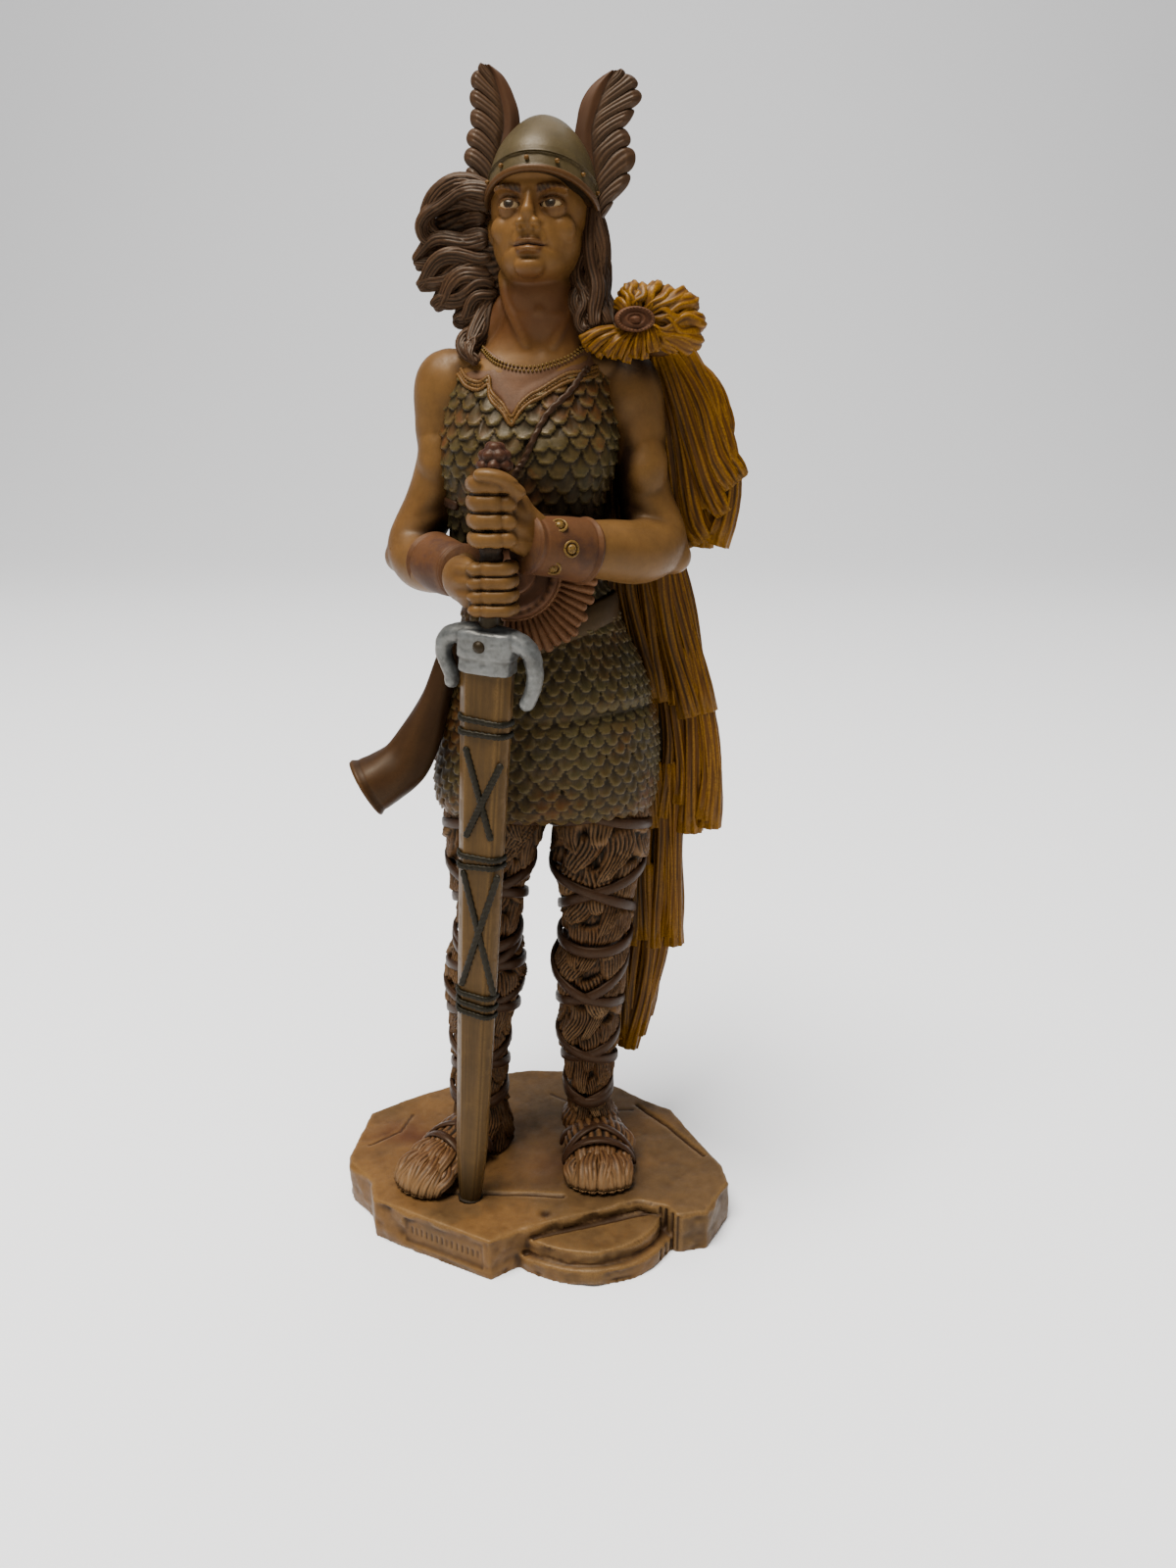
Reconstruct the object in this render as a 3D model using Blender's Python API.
"""Painted resin souvenir figure of a viking warrior with a separate sheathed sword.

Two bodies: the figure with its rock base, cast in one, and the sword that stands in front of it.
Metres, +Z up, origin on the underside at the middle of the base, the figure looks towards -Y.
"""
import math

import bmesh
import bpy
from mathutils import Matrix, Vector

MM = 0.001

# Rock base
BASE_TOP = 10.5
DRAWN_TOP = 10.5
BASE_LOBE_TOP = 7.6
BASE_LOBE_STEP = 3.9
FOOT_SINK = 0.8

# Sword line: the tip stands in the base, the line runs up through both fists to the pommel
TIP_X = -16.2
TIP_Y = -18.5
TIP_DEPTH = 3.0
GUARD_X = -7.8
GUARD_Y = -25.0
GUARD_Z = 145.7
POMMEL_Z = 181.0
SWORD_TURN_DEG = -17.0

# Sword body
BLADE_WIDTH_TOP = 11.0
BLADE_WIDTH_LOW = 7.6
BLADE_DEPTH_TOP = 5.4
BLADE_DEPTH_LOW = 4.2
BLADE_CHAMFER = 1.7
BAND_RISE = 0.35
STRAP_WIDTH = 1.5
STRAP_RISE = 0.4
STRAP_OVER = 0.14
QUILLON_RADIUS = 1.65
PEG_RADIUS = 2.0
PEG_LENGTH = 7.0

# Fits between the two bodies
PEG_CLEARANCE = 0.35
TIP_CLEARANCE = 0.5
FIST_GAP = 0.6

# Hands
FINGER_RADIUS = 1.75
FINGER_PITCH = 3.45
GRIP_RADIUS = 2.9

# Horn
HORN_MOUTH_RADIUS = 6.8
HORN_WALL = 1.1
HORN_DEPTH = 10.0

# Surface build
VOXEL = 0.72
FIGURE_FACES = 7750

# Half widths of each leg at heights above the floor: z, centre x, centre y, half width, half depth
RIGHT_LEG = (
    (11, -14.6, 5.5, 7.0, 8.2), (17, -14.9, 5.2, 7.0, 7.6), (25, -15.6, 4.6, 6.4, 6.6), (33, -15.2, 4.2, 6.4, 6.6),
    (40, -14.7, 4.0, 6.7, 7.2), (46, -14.5, 4.0, 7.2, 8.0), (52, -13.8, 4.0, 8.4, 9.2), (59, -13.0, 3.8, 9.2, 9.8),
    (65, -12.8, 3.2, 8.7, 9.3), (71, -12.0, 2.4, 7.4, 8.7), (77, -11.5, 2.0, 7.4, 8.8), (84, -11.2, 2.0, 8.6, 9.4),
    (91, -10.5, 2.2, 10.0, 10.4), (99, -9.7, 2.4, 11.4, 11.2), (108, -9.0, 2.6, 11.8, 12.0),
)
LEFT_LEG = (
    (11, 14.0, 4.5, 6.6, 7.8), (17, 13.2, 4.6, 6.0, 7.2), (25, 12.3, 4.6, 5.0, 6.2), (31, 12.2, 4.4, 5.6, 6.4),
    (38, 12.3, 4.2, 6.4, 7.0), (44, 12.2, 4.0, 7.1, 8.0), (50, 12.6, 3.8, 7.0, 8.6), (58, 12.4, 3.8, 8.4, 9.6),
    (63, 12.6, 3.4, 8.6, 9.4), (68, 13.6, 2.6, 8.2, 8.8), (74, 14.0, 2.0, 8.0, 8.8), (81, 14.2, 2.0, 8.6, 9.4),
    (88, 14.4, 2.2, 10.4, 10.4), (95, 15.0, 2.4, 10.9, 11.2), (108, 14.4, 2.6, 11.6, 12.0),
)
# Scale coat, hem to collar
COAT = (
    (103.6, 2.3, 2.6, 24.4, 15.8), (106, 2.3, 2.6, 25.2, 16.4), (110.5, 2.5, 2.6, 25.5, 16.6), (116.4, 3.0, 2.4, 25.0, 16.4),
    (122, 3.1, 2.2, 24.6, 16.0), (127.5, 2.9, 2.0, 23.8, 15.4), (133, 3.0, 1.8, 22.2, 14.4), (138.5, 3.0, 1.6, 20.0, 13.2),
    (143.8, 2.4, 1.6, 17.8, 12.2), (149.4, 1.3, 1.6, 16.4, 11.4), (157.8, -0.9, 1.4, 15.2, 11.0), (167.4, -1.5, 1.0, 15.8, 11.4),
    (173, -1.2, 0.8, 16.6, 12.4), (179, -0.6, 0.8, 17.8, 13.2), (185, -0.2, 1.0, 18.4, 12.8), (191, -0.2, 1.6, 18.2, 11.4),
    (197, 0.3, 2.2, 17.0, 9.6), (201, 1.2, 2.4, 14.0, 8.0), (204.5, 2.2, 2.4, 10.0, 7.4),
)
NECK = (
    (200, 2.6, 2.2, 9.4, 8.2), (205, 3.0, 1.6, 8.4, 7.9), (209, 2.8, 1.0, 7.8, 7.8), (214, 2.4, 0.6, 7.6, 8.2), (220, 2.2, 1.0, 7.4, 8.6),
)
# Limbs as x, y, z, half width, half depth along the bone
RIGHT_ARM = (
    (-13.0, 2.5, 200.0, 5.6, 5.2), (-17.6, 2.8, 196.0, 6.4, 6.4), (-18.2, 3.0, 188.0, 6.2, 6.6), (-18.8, 3.0, 180.0, 5.7, 6.0),
    (-21.6, 2.4, 171.5, 5.7, 6.0), (-25.6, 0.6, 163.4, 5.5, 5.8), (-23.6, -4.0, 159.8, 5.6, 6.0), (-19.4, -9.6, 159.6, 5.5, 5.8),
    (-14.6, -15.8, 160.0, 4.7, 4.6), (-11.6, -19.6, 159.6, 4.2, 3.8),
)
LEFT_ARM = (
    (15.0, 2.6, 200.0, 5.6, 5.2), (20.6, 3.0, 195.6, 6.6, 6.6), (22.6, 3.2, 187.0, 5.9, 6.4), (23.4, 3.2, 180.0, 5.6, 6.0),
    (24.6, 3.2, 172.0, 5.9, 6.2), (27.0, 1.8, 164.0, 6.5, 6.9), (23.2, -4.4, 162.0, 6.7, 6.8), (16.0, -11.4, 163.2, 6.2, 6.2),
    (8.6, -17.2, 164.6, 5.2, 5.2), (3.6, -21.4, 165.6, 4.6, 4.2),
)
HORN = (
    (-16.4, -3.0, 145.0, 2.2, 2.2), (-18.9, -4.6, 138.0, 2.7, 2.7), (-21.4, -5.4, 130.0, 3.4, 3.4), (-24.6, -6.0, 122.4, 4.5, 4.5),
    (-28.4, -6.6, 116.4, 5.4, 5.4), (-33.0, -7.4, 112.8, 6.1, 6.1), (-37.4, -8.2, 110.4, HORN_MOUTH_RADIUS, HORN_MOUTH_RADIUS),
)
# Solid core of the cape by height: outer edge, front inner corner, middle of the back, inner edge of the back
CAPE_OUTER = (
    (33, 25.0, 13.5), (46, 28.0, 13.0), (58, 31.0, 12.5), (66, 33.6, 12.0), (82, 33.8, 11.5), (94, 34.0, 11.0), (100, 36.0, 10.6),
    (111, 38.0, 10.2), (123, 37.6, 9.8), (130, 36.0, 9.6), (141, 33.8, 9.2), (152, 31.4, 8.8), (161, 31.8, 8.2), (172, 37.0, 7.4),
    (183, 37.4, 6.4), (191, 35.0, 5.8), (199, 32.6, 5.2), (205, 31.0, 4.6),
)
CAPE_FRONT = ((33, 18.6, 13.0), (58, 18.0, 12.6), (97, 20.0, 12.0), (130, 20.0, 11.4), (152, 16.0, 10.6), (185, 16.0, 9.4), (205, 16.0, 8.6))
CAPE_MIDDLE = (
    (33, 24.0, 20.0), (58, 25.0, 22.0), (97, 26.0, 24.0), (130, 21.0, 23.0), (160, 17.0, 19.6), (185, 18.0, 18.6), (205, 19.0, 15.0),
)
CAPE_INNER = (
    (33, 19.0, 16.0), (58, 12.0, 17.0), (97, 8.0, 18.5), (130, -6.0, 18.5), (160, -12.0, 14.4), (185, -13.0, 13.6), (205, 2.0, 12.0),
)
# Tiers of cape strips: top z, end z, outer x at the top, middle and end, strips in front, strips behind
CAPE_TIERS = (
    (86, 34, 32.0, 31.8, 25.2, 4, 7), (112, 63, 34.0, 35.4, 36.0, 4, 8), (140, 95, 37.0, 43.2, 43.6, 5, 11),
    (168, 123, 30.6, 36.0, 41.8, 5, 13), (205, 162, 33.0, 43.8, 43.6, 3, 14),
)
CAPE_STRIP = 1.9
# Feathered wing of the helmet: z, inner x, outer x
RIGHT_WING = (
    (228, -6.0, -8.6), (231, -4.0, -9.6), (234, -3.2, -11.4), (237, -2.6, -11.9), (239, -2.2, -10.9), (241, -1.8, -11.1), (243, -1.3, -10.5),
    (245, -1.3, -9.6), (247, -1.6, -10.4), (249, -2.3, -9.9), (251, -3.2, -10.3), (253, -4.6, -10.0), (254.6, -6.8, -8.8),
)
LEFT_WING = (
    (227, 12.6, 15.0), (230, 11.2, 16.6), (233, 10.2, 19.4), (236, 9.6, 20.5), (239, 9.2, 20.0), (241, 9.3, 19.8), (243, 9.5, 18.2),
    (245, 9.9, 19.4), (247, 10.3, 20.9), (249, 11.1, 21.6), (251, 12.6, 21.4), (252.6, 14.6, 20.0), (253.6, 16.4, 18.6),
)


# Curves and sections

def spline(table, t):
    """Catmull-Rom point on a table of equal-length rows, t from 0 to 1."""
    n = len(table) - 1
    s = min(max(t, 0.0), 1.0) * n
    i = min(int(s), n - 1)
    f = s - i
    p0 = table[max(i - 1, 0)]
    p1 = table[i]
    p2 = table[i + 1]
    p3 = table[min(i + 2, n)]
    out = []
    for a, b, c, d in zip(p0, p1, p2, p3):
        v = 0.5 * (2 * b + (c - a) * f + (2 * a - 5 * b + 4 * c - d) * f * f + (3 * b - a - 3 * c + d) * f ** 3)
        out.append(v)
    return out


def level(table, z):
    """Linear lookup in a table whose first column is the height."""
    if z <= table[0][0]:
        return table[0][1:]
    for low, high in zip(table, table[1:]):
        if z <= high[0]:
            f = (z - low[0]) / (high[0] - low[0])
            return tuple(a + (b - a) * f for a, b in zip(low[1:], high[1:]))
    return table[-1][1:]


def bezier(a, b, c, t):
    return tuple((1 - t) ** 2 * p + 2 * t * (1 - t) * q + t * t * r for p, q, r in zip(a, b, c))


def lift():
    """Height of the standing figure over the drawn one, so it follows the base."""
    return BASE_TOP - DRAWN_TOP


# Closed shells, all sizes in millimetres

def skin(bm, rings):
    """Closes a list of equal rings of points into one shell."""
    rows = [[bm.verts.new(Vector(p) * MM) for p in ring] for ring in rings]
    count = len(rows[0])
    for low, high in zip(rows, rows[1:]):
        for i in range(count):
            j = (i + 1) % count
            bm.faces.new((low[i], low[j], high[j], high[i]))
    for row, flip in ((rows[0], True), (rows[-1], False)):
        centre = bm.verts.new(sum((v.co for v in row), Vector()) / count)
        for i in range(count):
            j = (i + 1) % count
            order = (row[j], row[i], centre) if flip else (row[i], row[j], centre)
            bm.faces.new(order)


def stack(bm, table, steps, around, swell=None):
    """Level sections z, x, y, half width, half depth, with an optional swelling of the surface."""
    rings = []
    for k in range(steps + 1):
        z, cx, cy, rx, ry = spline(table, k / steps)
        ring = []
        for i in range(around):
            a = 2 * math.pi * i / around
            add = swell(a, z) if swell else 0.0
            ring.append((cx + (rx + add) * math.sin(a), cy - (ry + add) * math.cos(a), z + lift()))
        rings.append(ring)
    skin(bm, rings)


def limb(bm, table, steps, around, round_ends=True, side=Vector((0, 0, 1))):
    """Sections square to a curved line: x, y, z, half width, half depth."""
    rings = []
    for k in range(steps + 1):
        t = k / steps
        x, y, z, ra, rb = spline(table, t)
        ahead = Vector(spline(table, min(t + 0.02, 1.0))[:3])
        behind = Vector(spline(table, max(t - 0.02, 0.0))[:3])
        along = (ahead - behind).normalized()
        across = along.cross(side)
        if across.length < 0.2:
            across = along.cross(Vector((0, 1, 0)))
        across.normalize()
        up = across.cross(along).normalized()
        if round_ends:
            shrink = min(1.0, math.sqrt(max(0.0, 1 - (1 - min(k, steps - k) / 1.6) ** 2))) if min(k, steps - k) < 1.6 else 1.0
            shrink = max(shrink, 0.25)
        else:
            shrink = 1.0
        centre = Vector((x, y, z + lift()))
        ring = []
        for i in range(around):
            a = 2 * math.pi * i / around
            ring.append(centre + across * (ra * shrink * math.cos(a)) + up * (rb * shrink * math.sin(a)))
        rings.append(ring)
    skin(bm, rings)


def blob(bm, centre, radii, turn=(0, 0, 0)):
    spin = Matrix.Rotation(math.radians(turn[2]), 4, "Z") @ Matrix.Rotation(math.radians(turn[1]), 4, "Y")
    spin = spin @ Matrix.Rotation(math.radians(turn[0]), 4, "X")
    place = Matrix.Translation(Vector((centre[0], centre[1], centre[2] + lift())) * MM)
    size = Matrix.Diagonal((radii[0] * MM, radii[1] * MM, radii[2] * MM, 1))
    bmesh.ops.create_icosphere(bm, subdivisions=3, radius=1.0, matrix=place @ spin @ size)


def prism(outline, low, high):
    """Upright body from a floor outline."""
    bm = bmesh.new()
    base = [bm.verts.new((x * MM, y * MM, low * MM)) for x, y in outline]
    face = bm.faces.new(base)
    grown = bmesh.ops.extrude_face_region(bm, geom=[face])
    for v in grown["geom"]:
        if isinstance(v, bmesh.types.BMVert):
            v.co.z = high * MM
    bmesh.ops.recalc_face_normals(bm, faces=bm.faces)
    return body("slab", bm)


def body(name, bm):
    mesh = bpy.data.meshes.new(name)
    bm.to_mesh(mesh)
    bm.free()
    obj = bpy.data.objects.new(name, mesh)
    bpy.context.scene.collection.objects.link(obj)
    return obj


def baked(obj):
    """Turns the modifiers of an object into its own mesh."""
    graph = bpy.context.evaluated_depsgraph_get()
    graph.update()
    mesh = bpy.data.meshes.new_from_object(obj.evaluated_get(graph))
    obj.modifiers.clear()
    obj.data = mesh


def combine(obj, other, operation):
    step = obj.modifiers.new(operation.lower(), "BOOLEAN")
    step.operation = operation
    step.solver = "EXACT"
    step.object = other
    baked(obj)
    bpy.data.objects.remove(other)


# The sword line

def axis_point(z):
    """Point of the sword line at a height above the floor."""
    low = Vector((TIP_X, TIP_Y, BASE_TOP))
    high = Vector((GUARD_X, GUARD_Y, GUARD_Z + lift()))
    return low + (high - low) * ((z - low.z) / (high.z - low.z))


def sword_frame():
    """Axes of the sword: across the blade, towards the viewer, up its line."""
    up = (axis_point(GUARD_Z) - axis_point(BASE_TOP)).normalized()
    across = Matrix.Rotation(math.radians(SWORD_TURN_DEG), 3, "Z") @ Vector((1, 0, 0))
    across = (across - up * across.dot(up)).normalized()
    front = across.cross(up).normalized()
    if front.y > 0:
        front = -front
    return across, front, up


def fist(bm, z_top, hand_side):
    """Four fingers bent round the sword line, with the back of the hand on one side (+1 or -1)."""
    across = Vector((1, 0, 0))
    front = Vector((0, -1, 0))
    reach = GRIP_RADIUS + FINGER_RADIUS * 0.75
    for i in range(4):
        z = z_top - FINGER_PITCH * (i + 0.5)
        centre = axis_point(z + lift()) - Vector((0, 0, lift()))
        rows = []
        size = FINGER_RADIUS * (1.0, 1.06, 1.02, 0.9)[i]
        for k in range(9):
            a = math.radians(hand_side * (58 - 27 * k))
            r = reach + (0.5 if 1 < k < 6 else 0.0)
            p = centre + across * (r * math.sin(a) * 1.12) + front * (r * math.cos(a) * 1.05)
            rows.append((p.x, p.y, p.z, size, size * 1.04))
        limb(bm, rows, 18, 10)
        knuckle = centre + across * (hand_side * 4.4) + front * 3.3
        blob(bm, knuckle, (2.3, 2.2, size * 1.02))


def hands(bm):
    top = 178.9
    fist(bm, top, 1)
    fist(bm, top - 4 * FINGER_PITCH - 0.3, -1)
    mid = top - 2 * FINGER_PITCH
    c = axis_point(mid)
    # back of the upper hand, from the knuckles to the wrist
    limb(bm, (
        (c.x + 1.6, c.y - 2.6, mid, 3.4, 6.9), (c.x + 5.2, c.y - 1.8, mid - 0.4, 3.3, 6.8),
        (c.x + 8.6, c.y + 1.4, mid - 2.4, 3.6, 6.0), (c.x + 11.6, c.y + 4.6, mid - 5.0, 4.4, 5.0),
    ), 14, 14)
    blob(bm, (c.x + 2.6, c.y + 2.6, mid), (5.0, 3.6, 6.9))
    # thumb laid over the top of the upper fist
    limb(bm, ((c.x + 5.0, c.y - 1.4, top - 0.6, 2.1, 1.7), (c.x + 1.4, c.y - 4.2, top + 0.7, 2.0, 1.5), (c.x - 3.0, c.y - 3.6, top + 0.5, 1.7, 1.3)), 10, 10)
    low = mid - 4 * FINGER_PITCH - 0.3
    c = axis_point(low)
    limb(bm, (
        (c.x - 1.4, c.y - 2.4, low, 3.3, 6.8), (c.x - 4.4, c.y - 1.0, low + 0.3, 3.4, 6.6),
        (c.x - 6.6, c.y + 2.2, low + 1.2, 3.8, 5.8), (c.x - 8.2, c.y + 5.8, low + 1.8, 4.2, 4.8),
    ), 14, 14)
    blob(bm, (c.x - 1.6, c.y + 2.6, low), (5.0, 3.6, 6.9))
    # grip inside both fists and the knobbed pommel above them
    limb(bm, [tuple(axis_point(z)) + (GRIP_RADIUS, GRIP_RADIUS) for z in (low - 5.6, mid, POMMEL_Z)], 12, 12)
    for ring, z, r, count in ((0, POMMEL_Z - 0.4, 2.9, 6), (1, POMMEL_Z + 2.0, 2.2, 5)):
        p = axis_point(z)
        for i in range(count):
            a = 2 * math.pi * (i + 0.5 * ring) / count
            blob(bm, (p.x + r * math.sin(a) * 0.8, p.y - r * math.cos(a) * 0.8, z), (1.5, 1.5, 1.5))
    p = axis_point(POMMEL_Z + 1.0)
    blob(bm, (p.x, p.y, p.z), (2.8, 2.8, 2.8))


# Parts of the figure

def fur(phase, low):
    """Hanging tufts: rows that swell towards their lower ends."""
    def swell(a, z):
        row = (z - low) / 8.6 + 0.16 * math.sin(3 * a + phase)
        drop = 1 - (row - math.floor(row))
        lock = abs(math.sin(3.5 * a + math.floor(row) * 1.9 + phase))
        return -0.5 + 1.25 * drop * (0.55 + 0.45 * lock) - (0.9 if drop > 0.93 else 0.0)
    return swell


def thong(bm, leg, crossings, phase):
    """Pair of straps wound both ways round a leg, meeting in front at the given heights."""
    for hand in (1, -1):
        rows = []
        for high, low in zip(crossings, crossings[1:]):
            for k in range(12):
                f = k / 12
                z = high + (low - high) * f
                cx, cy, rx, ry = level(leg, z)
                a = hand * 2 * math.pi * f + phase
                rows.append((cx + (rx + 0.55) * math.sin(a), cy - (ry + 0.55) * math.cos(a), z, 0.8, 1.2))
        limb(bm, rows, len(rows) * 2, 6)


def shoe(bm, ankle, heel, ball, toe, width):
    """Fur shoe: heel, instep and toes, toes parted in strands."""
    floor = 10.5 - FOOT_SINK
    limb(bm, (
        (heel[0], heel[1], floor + 4.2, width * 0.46, 4.8), ((heel[0] + ball[0]) / 2, (heel[1] + ball[1]) / 2, floor + 5.6, width * 0.52, 6.2),
        (ball[0], ball[1], floor + 4.0, width * 0.56, 5.0), (toe[0], toe[1], floor + 2.6, width * 0.44, 3.6),
    ), 16, 16)
    limb(bm, (
        (ankle[0], ankle[1], 24.0, width * 0.44, width * 0.44), (ankle[0], ankle[1], 18.0, width * 0.5, width * 0.5),
        (heel[0], heel[1], 12.6, width * 0.48, width * 0.52),
    ), 8, 14)
    along = Vector((toe[0] - ball[0], toe[1] - ball[1], 0)).normalized()
    side = Vector((-along.y, along.x, 0))
    for i in range(5):
        off = (i - 2) / 2
        root = Vector((ball[0], ball[1], 0)) + side * (off * width * 0.40)
        tip = Vector((toe[0], toe[1], 0)) + side * (off * width * 0.36) + along * (1.6 - 1.4 * off * off)
        limb(bm, (
            (root.x, root.y, floor + 7.4 - 1.6 * abs(off), 1.7, 1.6), ((root.x + tip.x) / 2, (root.y + tip.y) / 2, floor + 6.0 - 1.2 * abs(off), 1.8, 1.7),
            (tip.x, tip.y, floor + 2.4, 1.6, 1.8),
        ), 10, 8)


def legs(bm):
    stack(bm, RIGHT_LEG, 96, 30, fur(0.4, 12.0))
    stack(bm, LEFT_LEG, 96, 30, fur(2.1, 14.0))
    shoe(bm, (-15.2, 4.6), (-13.8, 7.0), (-24.5, -9.5), (-30.2, -17.0), 13.4)
    shoe(bm, (12.6, 4.4), (13.2, 5.6), (15.0, -9.0), (15.4, -16.6), 15.6)
    thong(bm, RIGHT_LEG, (104, 86, 66, 55, 38, 25), 0.15)
    thong(bm, LEFT_LEG, (104, 85, 57, 40, 26), -0.1)
    for leg, heights in ((RIGHT_LEG, (72, 27)), (LEFT_LEG, (71, 27.5))):
        for z in heights:
            cx, cy, rx, ry = level(leg, z)
            rows = []
            for k in range(25):
                a = 2 * math.pi * k / 24
                rows.append((cx + (rx + 0.6) * math.sin(a), cy - (ry + 0.6) * math.cos(a), z - 1.6 * math.cos(a), 0.9, 1.2))
            limb(bm, rows, 48, 6, False)


def coat(bm):
    def swell(a, z):
        hem = 0.5 * math.cos(14 * a) if z < 106 else 0.0
        fold = -1.6 * math.exp(-((z - 126.5 - 1.5 * math.sin(a)) / 1.7) ** 2) * max(0.0, math.cos(a - 0.75)) ** 3
        chest = 1.5 * math.exp(-((z - 181) / 7.5) ** 2) * max(0.0, math.cos(2 * (abs(math.atan2(math.sin(a), math.cos(a))) - 0.62))) * (math.cos(a) > 0)
        return hem + fold + chest
    stack(bm, COAT, 84, 48, swell)
    stack(bm, NECK, 16, 24)
    # sash round the hips, lower in front on the right
    rows = []
    for k in range(33):
        a = 2 * math.pi * k / 32
        z = 144.5 + 5.2 * math.sin(a + 0.25) - 1.2 * math.cos(a)
        cx, cy, rx, ry = level(COAT, z)
        rows.append((cx + (rx - 0.6) * math.sin(a), cy - (ry - 0.6) * math.cos(a), z, 1.7, 3.2))
    limb(bm, rows, 64, 10, False)
    # collar border with a point over the breastbone
    border = ((-10.4, -5.6, 199.5), (-9.0, -9.0, 195.0), (-4.6, -11.4, 192.6), (-3.4, -12.0, 190.4), (1.0, -12.8, 185.8),
              (5.4, -12.0, 190.4), (9.6, -10.4, 193.6), (13.2, -6.8, 196.8))
    limb(bm, [p + (0.9, 0.9) for p in border], 32, 6)
    # ringed disc under the hands with its fringe
    centre = Vector((-3.6, -12.6, 159.2))
    limb(bm, ((centre.x, centre.y + 4, centre.z - 1, 9.8, 9.8), (centre.x, centre.y, centre.z, 10.4, 10.4), (centre.x, centre.y - 1.6, centre.z + 0.4, 9.6, 9.6)), 6, 28, False)
    for i in range(9):
        a = math.radians(-86 + 10.5 * i)
        d = Vector((math.cos(a), 0, math.sin(a)))
        inner = centre + d * 9.0
        outer = centre + d * (18.6 - 0.25 * abs(i - 3)) + Vector((0, -0.2, 0))
        limb(bm, ((inner.x, inner.y + 0.4, inner.z, 1.3, 1.2), (outer.x, outer.y - 0.4, outer.z, 1.5, 1.2)), 6, 6)


def arms(bm):
    limb(bm, RIGHT_ARM, 44, 20)
    limb(bm, LEFT_ARM, 44, 20)
    blob(bm, (-16.6, 2.6, 194.0), (6.5, 7.0, 9.0))
    blob(bm, (20.4, 2.8, 193.4), (6.9, 7.0, 9.0))
    blob(bm, (-10.0, 2.6, 199.0), (9.0, 6.4, 4.6), (0, 14, 0))
    blob(bm, (13.0, 2.8, 199.0), (9.0, 6.4, 4.6), (0, -12, 0))
    # upper arm muscle and elbow
    blob(bm, (-19.4, 1.0, 181.0), (5.0, 5.4, 7.4), (0, 6, 0))
    blob(bm, (24.2, 1.4, 179.0), (5.0, 5.4, 7.6), (0, -4, 0))
    # cuffs
    limb(bm, ((-21.6, -6.6, 159.4, 6.3, 6.6), (-17.6, -12.0, 159.6, 6.0, 6.3), (-13.8, -17.0, 160.0, 5.6, 5.8)), 12, 22, False)
    limb(bm, ((14.6, -12.8, 163.3, 6.8, 6.9), (9.0, -17.2, 164.2, 6.5, 6.6), (3.9, -21.4, 165.2, 6.0, 6.1)), 12, 22, False)
    for x, y, z in ((5.4, -25.6, 168.6), (3.4, -26.6, 163.4), (8.6, -24.6, 162.8), (6.6, -25.2, 159.0)):
        blob(bm, (x, y, z), (1.3, 1.2, 1.3))


def head(bm):
    """Plain features on the usual proportions, tipped back and turned a little."""
    turn = Matrix.Rotation(math.radians(-9), 3, "Z") @ Matrix.Rotation(math.radians(-12), 3, "X")
    pivot = Vector((2.4, 1.0, 224.6))

    def at(x, y, z):
        return pivot + turn @ Vector((x, y, z))

    def lump(x, y, z, rx, ry, rz):
        blob(bm, at(x, y, z), (rx, ry, rz), (-12, 0, -9))

    lump(0, 0.6, 3.0, 9.6, 11.4, 10.2)
    lump(0, -1.6, -2.4, 8.6, 9.0, 8.4)
    lump(0, -4.6, -6.6, 5.6, 5.8, 4.6)
    lump(0, -8.2, -8.0, 2.6, 2.2, 1.9)
    for side in (-1, 1):
        lump(side * 4.6, -7.4, -0.6, 3.0, 2.6, 2.4)
        lump(side * 3.8, -9.6, 4.2, 3.3, 1.5, 1.0)
        lump(side * 3.7, -8.4, 2.0, 2.2, 1.5, 1.2)
        lump(side * 9.2, 0.6, 0.0, 1.3, 2.2, 3.0)
        lump(side * 1.3, -11.0, -1.5, 1.0, 1.4, 0.9)
    lump(0, -9.8, 3.6, 1.3, 1.8, 2.2)
    lump(0, -11.2, 0.8, 1.1, 1.6, 2.6)
    lump(0, -11.8, -1.1, 1.3, 1.6, 1.2)
    lump(0, -10.2, -4.0, 2.6, 1.5, 0.7)
    lump(0, -9.9, -5.3, 2.3, 1.5, 0.8)


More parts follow.
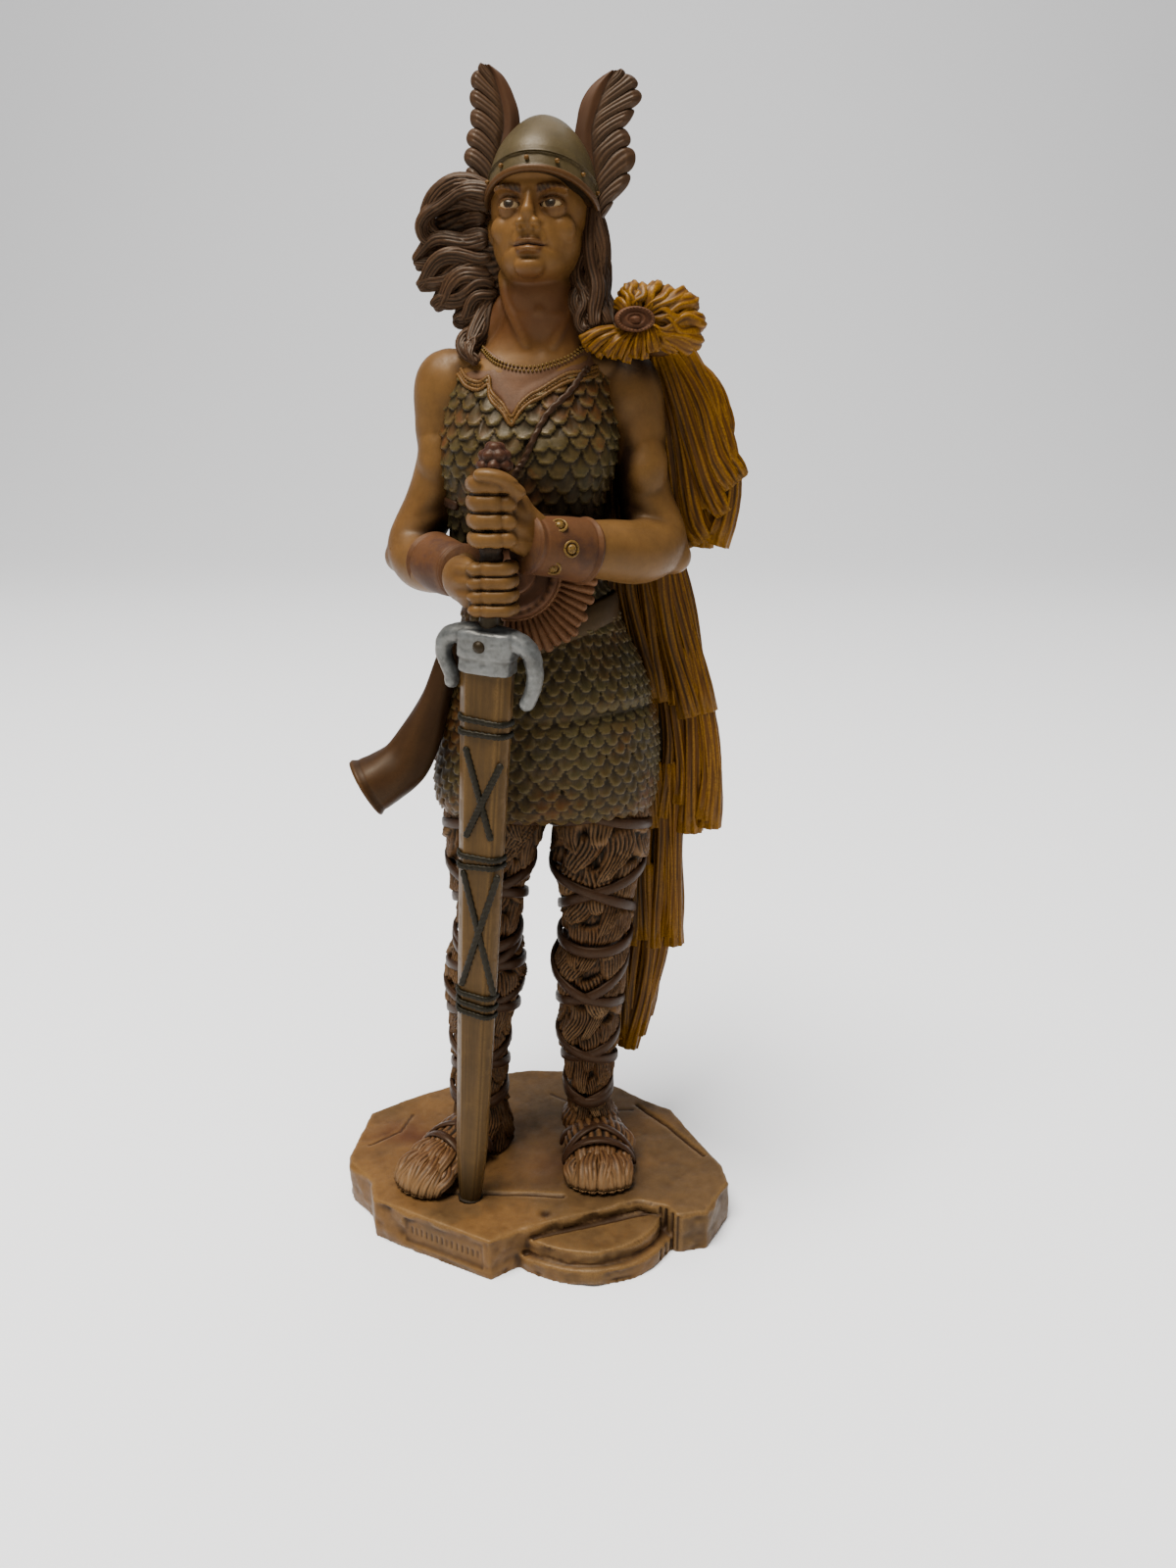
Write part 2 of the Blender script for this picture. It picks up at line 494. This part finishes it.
def helmet(bm):
    turn = Matrix.Rotation(math.radians(-9), 3, "Z") @ Matrix.Rotation(math.radians(-16), 3, "X")
    pivot = Vector((3.2, 1.6, 231.8))
    rings = []
    profile = ((-3.6, 0.90), (-3.4, 1.04), (-2.6, 1.07), (-1.8, 1.02), (0.4, 1.0), (0.9, 1.02), (1.4, 0.98), (4.0, 0.92), (7.0, 0.78), (9.6, 0.58), (11.6, 0.34), (12.5, 0.12))
    for h, w in profile:
        ring = []
        for i in range(36):
            a = 2 * math.pi * i / 36
            arch = 2.0 * math.cos(a) * max(0.0, 1 - (h + 3.6) / 10) + 1.0 * (math.cos(a) ** 2) * max(0.0, 1 - (h + 3.6) / 8)
            p = pivot + turn @ Vector((10.9 * w * math.sin(a), -12.6 * w * math.cos(a), h + arch))
            ring.append((p.x, p.y, p.z + lift()))
        rings.append(ring)
    skin(bm, rings)
    blob(bm, pivot + turn @ Vector((0, 0, 12.6)), (1.0, 1.0, 0.9))
    for table, lean in ((RIGHT_WING, 1), (LEFT_WING, -1)):
        rings = []
        steps = 30
        for k in range(steps + 1):
            z, inner, outer = spline(table, k / steps)
            mid = (inner + outer) / 2
            half = abs(outer - inner) / 2
            thick = 1.75 - 0.5 * k / steps
            y = 2.6 + 1.6 * (k / steps)
            ring = []
            for i in range(20):
                a = 2 * math.pi * i / 20
                rib = 0.35 * math.cos(5 * a + 9 * k / steps) * abs(math.cos(a))
                ring.append((mid + half * math.cos(a), y - (thick + rib) * math.sin(a) * (1.15 - 0.35 * lean * math.cos(a)), z + lift()))
            rings.append(ring)
        skin(bm, rings)


def hair(bm):
    locks = (
        ((-7, 1, 231, 2.4), (-13, 2, 232, 2.2), (-18.6, 3, 229.4, 2.2), (-20.4, 3, 225.6, 2.0), (-18.6, 3, 222.8, 1.8)),
        ((-8, 3, 226, 2.4), (-12, 5, 227, 2.4), (-15, 6.5, 224.6, 2.2), (-18, 5.5, 221.8, 2.0)),
        ((-8, 2, 222, 2.2), (-13, 2.5, 222.4, 2.5), (-18.8, 3.5, 221.4, 2.5), (-23.6, 4, 219.6, 1.6)),
        ((-7.4, 2, 219, 2.3), (-12, 2, 219.0, 2.6), (-18.4, 3, 217.4, 2.5), (-22.8, 4, 214.8, 1.5)),
        ((-7, 2.4, 216, 2.3), (-11.4, 2.2, 215.4, 2.6), (-16.6, 3, 213.2, 2.4), (-19.8, 3.6, 211.0, 1.5)),
        ((-6.8, 3, 213, 2.3), (-10, 2.6, 211.6, 2.5), (-13.4, 2.6, 209.2, 2.2), (-15.4, 3, 208.6, 1.5)),
        ((-7.6, 4, 212, 2.4), (-9.6, 2, 207.4, 2.4), (-12.2, -1.0, 204.0, 2.0), (-12.0, -3.8, 201.4, 1.5), (-10.2, -5.6, 199.6, 0.9)),
        ((12.4, 1, 229, 2.2), (12.6, -1.2, 222, 2.4), (12.2, -2.2, 216, 2.6), (13.6, -4, 211, 2.6), (14.8, -6.4, 206.4, 2.0)),
        ((12.8, 4, 228, 2.4), (13.0, 3, 221, 2.5), (14.0, 1.6, 214.6, 2.8), (16.4, -1.4, 209.4, 2.6), (17.2, -4.4, 206.0, 1.8)),
        ((11.4, -2, 214, 1.6), (11.0, -4.6, 209.4, 2.0), (12.2, -6.6, 205.6, 1.4)),
        ((10, 9, 224, 3.4), (12, 9, 214, 3.8), (12, 9, 205, 3.4)),
    )
    for lock in locks:
        limb(bm, [p[:3] + (p[3], p[3] * 0.9) for p in lock], 18, 10)
    blob(bm, (-8.4, 7.0, 220), (8.2, 6.4, 10.4), (0, -18, 0))
    blob(bm, (-15.0, 6.0, 226.4), (5.6, 2.4, 4.6))
    blob(bm, (3.0, 9.6, 219), (11.0, 5.4, 13.0))
    for i in range(8):
        x = -8.6 + 3.1 * i
        sway = 1.6 * math.sin(1.3 * i)
        limb(bm, (
            (x * 0.8 + 1.0, 12.0, 228, 2.0, 1.8), (x + sway, 14.4, 218, 2.3, 2.0), (x - 0.6 * sway, 14.0, 208, 2.3, 1.8),
            (x + 0.8 * sway, 12.6, 198 + 2 * math.cos(i), 1.2, 1.1),
        ), 16, 8)


def horn(bm):
    limb(bm, HORN, 30, 20, False)
    mouth = HORN[-1]
    rows = []
    for k in range(25):
        a = 2 * math.pi * k / 24
        axis = (Vector(HORN[-1][:3]) - Vector(HORN[-2][:3])).normalized()
        across = axis.cross(Vector((0, 0, 1))).normalized()
        up = across.cross(axis)
        p = Vector(mouth[:3]) + across * (math.cos(a) * (HORN_MOUTH_RADIUS - 0.4)) + up * (math.sin(a) * (HORN_MOUTH_RADIUS - 0.4)) - axis * 0.6
        rows.append((p.x, p.y, p.z, 0.9, 0.9))
    limb(bm, rows, 48, 8, False)


def horn_hollow():
    bm = bmesh.new()
    axis = (Vector(HORN[-1][:3]) - Vector(HORN[-2][:3])).normalized()
    top = Vector(HORN[-1][:3])
    low = top - axis * HORN_DEPTH + Vector((0.9, 0.0, 0.9))
    out = top + axis * 3
    wide = HORN_MOUTH_RADIUS - HORN_WALL
    limb(bm, (tuple(low) + (wide * 0.42, wide * 0.42), tuple(top) + (wide, wide), tuple(out) + (wide * 1.05, wide * 1.05)), 8, 20, False)
    bmesh.ops.recalc_face_normals(bm, faces=bm.faces)
    return body("hollow", bm)


def cape_back(s, z, outer_x):
    """Point on the back of the cape: s runs from the outer edge (0) to the inner edge (1)."""
    a = (outer_x, level(CAPE_OUTER, z)[1])
    b = level(CAPE_MIDDLE, z)
    c = level(CAPE_INNER, z)
    return bezier(a, (2 * b[0] - (a[0] + c[0]) / 2, 2 * b[1] - (a[1] + c[1]) / 2), c, s)


def cape_front(s, z, outer_x):
    """Point on the front of the cape: s runs from the outer edge (0) to the corner behind the body (1)."""
    y = level(CAPE_OUTER, z)[1]
    c = level(CAPE_FRONT, z)
    return outer_x + (c[0] - outer_x) * s, y + (c[1] - y) * s


def cape(bm):
    rings = []
    for k in range(44):
        z = 37 + (203 - 37) * k / 43
        edge = level(CAPE_OUTER, z)[0]
        front = [cape_front(i / 6, z, edge) for i in range(7)]
        back = [cape_back(i / 16, z, edge) for i in range(17)]
        rings.append([(x, y, z + lift()) for x, y in front + back[::-1][:-1]])
    skin(bm, rings)
    # strips in tiers, each tier overlapping the next one down
    for tier, (top, end, x0, x1, x2, ahead, behind) in enumerate(CAPE_TIERS):
        for face, count, point in ((-1, ahead, cape_front), (1, behind, cape_back)):
            for i in range(count):
                s = (i + 0.15) / (count - 0.5)
                ragged = abs(3.4 * math.sin(2.3 * i + 1.7 * tier + face)) * (0.3 if i == 0 else 1.0)
                rows = []
                for k in range(7):
                    f = k / 6
                    z = top + (end + ragged - top) * f
                    edge = x0 * (1 - f) * (1 - 2 * f) + 4 * x1 * f * (1 - f) + x2 * f * (2 * f - 1)
                    x, y = point(s, z, edge)
                    size = CAPE_STRIP * (0.8 + 0.3 * f)
                    out = 0.2 + 1.3 * f + 0.35 * (i % 2)
                    rows.append((x - (size * 0.7 if i == 0 else 0.0), y + face * out, z, size * 0.95, size * (0.85 + 0.25 * f)))
                limb(bm, rows, 18, 8, True, Vector((0, 1, 0)))
    # cloth gathered through the brooch: long fan over the shoulder, short fringe below
    centre = Vector((22.0, -5.6, 207.4))
    for i in range(15):
        a = math.radians(112 - 11.5 * i)
        reach = 10.5 + 5.2 * math.sin(math.pi * min(max((i - 1) / 12, 0), 1)) + 0.7 * math.sin(2.4 * i)
        d = Vector((math.cos(a), 0.34 + 0.1 * math.sin(a), math.sin(a) * 0.78))
        p = centre + d * 3
        q = centre + d * (reach * 0.6) + Vector((0, -0.6, 0.6))
        r = centre + d * reach + Vector((0, 0.6, -0.4))
        limb(bm, (tuple(p) + (1.0, 1.3), tuple(q) + (1.35, 1.6), tuple(r) + (1.45, 1.4)), 10, 8)
    for i in range(11):
        a = math.radians(188 + 13.0 * i)
        d = Vector((math.cos(a) * 1.15, -0.05, math.sin(a) * 0.86))
        p = centre + d * 3
        r = centre + d * (9.4 + 0.6 * math.sin(2.1 * i)) + Vector((0, -0.6 if i < 8 else 1.0, 0))
        limb(bm, (tuple(p) + (1.2, 1.2), tuple((p + r) / 2 + Vector((0, -0.5, 0))) + (1.4, 1.3), tuple(r) + (1.2, 1.1)), 8, 7)
    blob(bm, (22.2, -7.6, 207.6), (4.3, 1.8, 2.6))
    blob(bm, (22.2, -8.6, 207.6), (2.2, 1.4, 1.3))
    # cloth from the brooch down behind the arm
    for i in range(6):
        s = i / 5
        rows = (
            (27 + 3.0 * s, -1.0 + 1.5 * s, 206.5, 1.9, 1.7), (29.5 + 4.6 * s, 2.0 + 1.5 * s, 199, 2.0, 1.8), (31 + 7.2 * s, 4.5 + s, 189, 2.2, 1.9),
            (32 + 11.4 * s, 5.6, 179, 2.3, 1.9), (33 + 12.2 * s, 6.4, 170 + 2.5 * math.sin(2 * i), 2.2, 1.8),
        )
        limb(bm, rows, 18, 8, True, Vector((0, 1, 0)))
    blob(bm, (17, 6, 203), (9, 7, 5))


# Rock base

def rock():
    main = (
        (-46.2, 17.0), (-36.4, 24.0), (-25.8, 30.8), (-15.0, 36.0), (-4.0, 38.6), (6.0, 38.2), (13.0, 35.6), (20.9, 29.4), (28.2, 22.8),
        (34.6, 18.6), (39.4, 7.6), (45.6, -6.0), (46.6, -13.0), (40.4, -24.0), (33.0, -25.4), (30.6, -22.0), (24.0, -20.0),
        (-3.6, -30.2), (-10.4, -34.8), (-25.0, -27.2), (-39.4, -19.4), (-41.0, -12.6), (-47.4, -5.6), (-48.4, -2.4),
    )
    slab = prism(main, 0.0, BASE_TOP)
    bevel_top(slab, 0.7)
    lobe_low = [(12.2 + 20.2 * math.sin(a) * (1 + 0.03 * math.sin(5 * a)), -20.5 - 16.0 * math.cos(a)) for a in [math.radians(-82 + 164 * i / 15) for i in range(16)]]
    lobe_top = [(11.6 + 18.2 * math.sin(a), -19.2 - 15.2 * math.cos(a)) for a in [math.radians(-80 + 158 * i / 13) for i in range(14)]]
    low = prism(lobe_low + [(30, -16), (-6, -18)], 0.0, BASE_LOBE_STEP)
    bevel_top(low, 0.6)
    top = prism(lobe_top + [(28, -14), (-4, -18)], BASE_LOBE_STEP - 1.0, BASE_LOBE_TOP)
    bevel_top(top, 0.6)
    combine(slab, low, "UNION")
    combine(slab, top, "UNION")
    # step cut in front of the raised plate, and the joint between the stones
    cut = prism(((-2.0, -32.0), (34.0, -20.6), (33.0, -40.0), (-4.0, -40.0)), BASE_LOBE_TOP + 0.2, BASE_TOP + 4)
    combine(slab, cut, "DIFFERENCE")
    crack = prism(((-32.0, -16.4), (6.0, -17.6), (6.0, -18.5), (-32.0, -17.4)), BASE_TOP - 0.5, BASE_TOP + 2)
    combine(slab, crack, "DIFFERENCE")
    crack = prism(((25.0, 20.0), (41.0, -2.0), (41.8, -1.5), (25.8, 20.8)), BASE_TOP - 0.5, BASE_TOP + 2)
    combine(slab, crack, "DIFFERENCE")
    # sunk panel on the front left face
    along = Vector((-10.4 + 39.4, -34.8 + 19.4, 0)).normalized()
    out = Vector((along.y, -along.x, 0))
    start = Vector((-31.4, -23.8, 0))
    end = Vector((-12.6, -33.7, 0))
    ring = (start - out * 0.45, end - out * 0.45, end + out * 4, start + out * 4)
    panel = prism([(p.x, p.y) for p in ring], 2.2, BASE_TOP - 1.6)
    combine(slab, panel, "DIFFERENCE")
    return slab


def bevel_top(obj, width):
    bm = bmesh.new()
    bm.from_mesh(obj.data)
    high = max(v.co.z for v in bm.verts)
    edges = [e for e in bm.edges if all(abs(v.co.z - high) < 1e-7 for v in e.verts)]
    bmesh.ops.bevel(bm, geom=edges, offset=width * MM, offset_type="OFFSET", segments=1, profile=0.5, affect="EDGES", material=-1)
    bm.to_mesh(obj.data)
    bm.free()


def round_cut(low, high, radius, around=20):
    """Cutter along the sword line between two heights."""
    bm = bmesh.new()
    a = axis_point(low)
    b = axis_point(high)
    up = (b - a).normalized()
    across = up.cross(Vector((0, 1, 0))).normalized()
    front = across.cross(up).normalized()
    rings = []
    for c in (a, b):
        ring = []
        for i in range(around):
            t = 2 * math.pi * i / around
            ring.append(c + across * (radius * math.cos(t)) + front * (radius * math.sin(t)))
        rings.append(ring)
    skin(bm, rings)
    bmesh.ops.recalc_face_normals(bm, faces=bm.faces)
    return body("cut", bm)


def blade_section(z, grow=0.0):
    """Eight-sided section of the sheathed blade at a height, wider towards the guard."""
    across, front, up = sword_frame()
    low = BASE_TOP - TIP_DEPTH
    f = min(max((z - 26.0) / (GUARD_Z - 30.0), 0.0), 1.0)
    w = (BLADE_WIDTH_LOW + (BLADE_WIDTH_TOP - BLADE_WIDTH_LOW) * f) / 2
    d = (BLADE_DEPTH_LOW + (BLADE_DEPTH_TOP - BLADE_DEPTH_LOW) * f) / 2
    taper = min(1.0, 0.42 + 0.58 * math.sqrt(max(0.0, (z - low) / (26.0 - low))))
    w = w * taper + grow
    d = d * (0.5 + 0.5 * taper) + grow
    c = min(BLADE_CHAMFER * taper, d * 0.8)
    centre = axis_point(z)
    corners = ((w - c, d), (w, d - c), (w, -d + c), (w - c, -d), (-w + c, -d), (-w, -d + c), (-w, d - c), (-w + c, d))
    return [centre + across * a + front * b for a, b in corners]


def sword():
    across, front, up = sword_frame()
    bm = bmesh.new()
    low = BASE_TOP - TIP_DEPTH
    top = GUARD_Z + lift() - 1.0
    bands = []
    for z0, z1 in ((61.8, 65.0), (65.7, 68.1), (97.6, 101.4), (126.8, 129.1), (129.7, 132.0)):
        bands.append((z0 + lift(), z1 + lift()))
    heights = [low, low + 2, low + 6, low + 12, 26.0]
    rings = [blade_section(z) for z in heights]
    for z0, z1 in bands:
        rings += [blade_section(z0), blade_section(z0 + 0.3, BAND_RISE), blade_section(z1 - 0.3, BAND_RISE), blade_section(z1)]
    rings.append(blade_section(top))
    skin(bm, rings)
    bmesh.ops.recalc_face_normals(bm, faces=bm.faces)
    blade = body("sword", bm)
    # crossed straps on the front, one lying over the other
    for z0, z1 in ((102.5, 125.6), (69.3, 96.4)):
        for hand, over in ((-1, 0.0), (1, STRAP_OVER)):
            bar = bmesh.new()
            rows = []
            for f in (0.0, 1.0):
                z = z0 + (z1 - z0) * f + over + lift()
                c = axis_point(z) + across * (hand * (f - 0.5) * BLADE_WIDTH_LOW * 0.87)
                depth = max((p - c).dot(front) for p in blade_section(z))
                centre = c + front * (depth - STRAP_RISE / 2 + over)
                half = STRAP_WIDTH / 2
                rows.append([centre + across * a + front * b for a, b in ((-half, -0.5 - over), (half, -0.5 - over), (half, STRAP_RISE), (-half, STRAP_RISE))])
            skin(bar, rows)
            bmesh.ops.recalc_face_normals(bar, faces=bar.faces)
            combine(blade, body("bar", bar), "UNION")
    # guard: collar, block and drooping quillons
    place = axis_point(GUARD_Z + lift())

    def at(a, b, h):
        return place + across * a + front * b + up * h

    def piece(rings_):
        part = bmesh.new()
        skin(part, rings_)
        bmesh.ops.recalc_face_normals(part, faces=part.faces)
        return body("guard", part)

    collar = []
    for h, w, d in ((-5.2, 5.5, 3.3), (-4.6, 5.8, 3.6), (-2.4, 5.8, 3.6), (-1.6, 6.2, 3.9), (2.6, 6.2, 3.9), (3.6, 5.6, 3.1)):
        ring = []
        for i in range(12):
            t = 2 * math.pi * (i + 0.5) / 12
            bow = abs(math.cos(t)) ** 0.5 * math.copysign(1, math.cos(t))
            rise = abs(math.sin(t)) ** 0.5 * math.copysign(1, math.sin(t))
            ring.append(at(w * bow, d * rise, h))
        collar.append(ring)
    combine(blade, piece(collar), "UNION")
    path = ((-8.2, -9.6, 1.75), (-7.3, -7.4, 1.35), (-8.6, -4.4, 1.5), (-10.1, -1.6, 1.6), (-9.2, 1.6, 1.75), (-6.0, 2.5, 1.8), (0, 2.2, 2.0),
            (5.6, 2.0, 1.9), (9.0, 0.2, 1.8), (10.6, -3.4, 1.7), (10.4, -7.2, 1.6), (9.3, -10.2, 1.55), (9.0, -12.2, 1.75))
    rings = []
    steps = 24
    for k in range(steps + 1):
        t = k / steps
        a, h, r = spline(path, t)
        p = spline(path, max(t - 0.01, 0))
        q = spline(path, min(t + 0.01, 1))
        d = Vector((q[0] - p[0], q[1] - p[1])).normalized()
        end = min(k, steps - k)
        r = r * (QUILLON_RADIUS / 1.65) * (0.45 if end == 0 else 0.85 if end == 1 else 1.0)
        ring = []
        for i in range(8):
            s = 2 * math.pi * i / 8
            ring.append(at(a - d.y * r * math.cos(s), r * 1.25 * math.sin(s), h + d.x * r * math.cos(s)))
        rings.append(ring)
    combine(blade, piece(rings), "UNION")
    rivet = []
    for b, r in ((3.0, 1.35), (4.3, 1.35), (4.7, 0.9)):
        rivet.append([at(-0.6 + r * math.cos(s), b, 0.6 + r * math.sin(s)) for s in [2 * math.pi * i / 10 for i in range(10)]])
    combine(blade, piece(rivet), "UNION")
    peg_low = place + up * 2.0
    peg_top = place + up * (4.6 + FIST_GAP + PEG_LENGTH)
    rings = []
    for c, r in ((peg_low, PEG_RADIUS), (peg_top - up * 0.5, PEG_RADIUS), (peg_top, PEG_RADIUS - 0.5)):
        rings.append([c + across * (r * math.cos(s)) + front * (r * math.sin(s)) for s in [2 * math.pi * i / 14 for i in range(14)]])
    combine(blade, piece(rings), "UNION")
    return blade


def figure():
    bm = bmesh.new()
    legs(bm)
    coat(bm)
    arms(bm)
    hands(bm)
    head(bm)
    helmet(bm)
    hair(bm)
    horn(bm)
    cape(bm)
    bmesh.ops.recalc_face_normals(bm, faces=bm.faces)
    shape = body("figure", bm)
    skinned = shape.modifiers.new("fuse", "REMESH")
    skinned.mode = "VOXEL"
    skinned.voxel_size = VOXEL * MM
    skinned.use_smooth_shade = False
    soft = shape.modifiers.new("soften", "SMOOTH")
    soft.factor = 0.5
    soft.iterations = 2
    baked(shape)
    triangles = sum(len(p.vertices) - 2 for p in shape.data.polygons)
    less = shape.modifiers.new("facet", "DECIMATE")
    less.ratio = min(1.0, FIGURE_FACES / triangles)
    less.use_collapse_triangulate = True
    baked(shape)
    return shape


def paint(obj, name, colour, rough, metal):
    mat = bpy.data.materials.new(name)
    mat.use_nodes = True
    shader = mat.node_tree.nodes["Principled BSDF"]
    shader.inputs["Base Color"].default_value = colour + (1,)
    shader.inputs["Roughness"].default_value = rough
    shader.inputs["Metallic"].default_value = metal
    obj.data.materials.clear()
    obj.data.materials.append(mat)


def tidy(obj):
    """Welds slivers left by the cuts and turns every face outward."""
    bm = bmesh.new()
    bm.from_mesh(obj.data)
    bmesh.ops.remove_doubles(bm, verts=bm.verts, dist=0.00002)
    bmesh.ops.dissolve_degenerate(bm, edges=bm.edges, dist=0.00001)
    bmesh.ops.triangulate(bm, faces=bm.faces)
    bmesh.ops.recalc_face_normals(bm, faces=bm.faces)
    bm.to_mesh(obj.data)
    bm.free()


def main():
    for obj in list(bpy.data.objects):
        bpy.data.objects.remove(obj)
    warrior = figure()
    combine(warrior, rock(), "UNION")
    combine(warrior, horn_hollow(), "DIFFERENCE")
    tip_radius = math.hypot(BLADE_WIDTH_LOW, BLADE_DEPTH_LOW) * 0.3 + TIP_CLEARANCE
    combine(warrior, round_cut(BASE_TOP - TIP_DEPTH - 0.8, BASE_TOP + 3, tip_radius), "DIFFERENCE")
    fist_floor = GUARD_Z + 4.6 + FIST_GAP + lift()
    combine(warrior, round_cut(fist_floor - 8, fist_floor + PEG_LENGTH + 0.8, PEG_RADIUS + PEG_CLEARANCE), "DIFFERENCE")
    tidy(warrior)
    warrior.name = "figure"
    paint(warrior, "figure_paint", (0.42, 0.24, 0.10), 0.55, 0.0)
    blade = sword()
    tidy(blade)
    blade.name = "sword"
    paint(blade, "sword_paint", (0.30, 0.20, 0.09), 0.5, 0.0)


main()
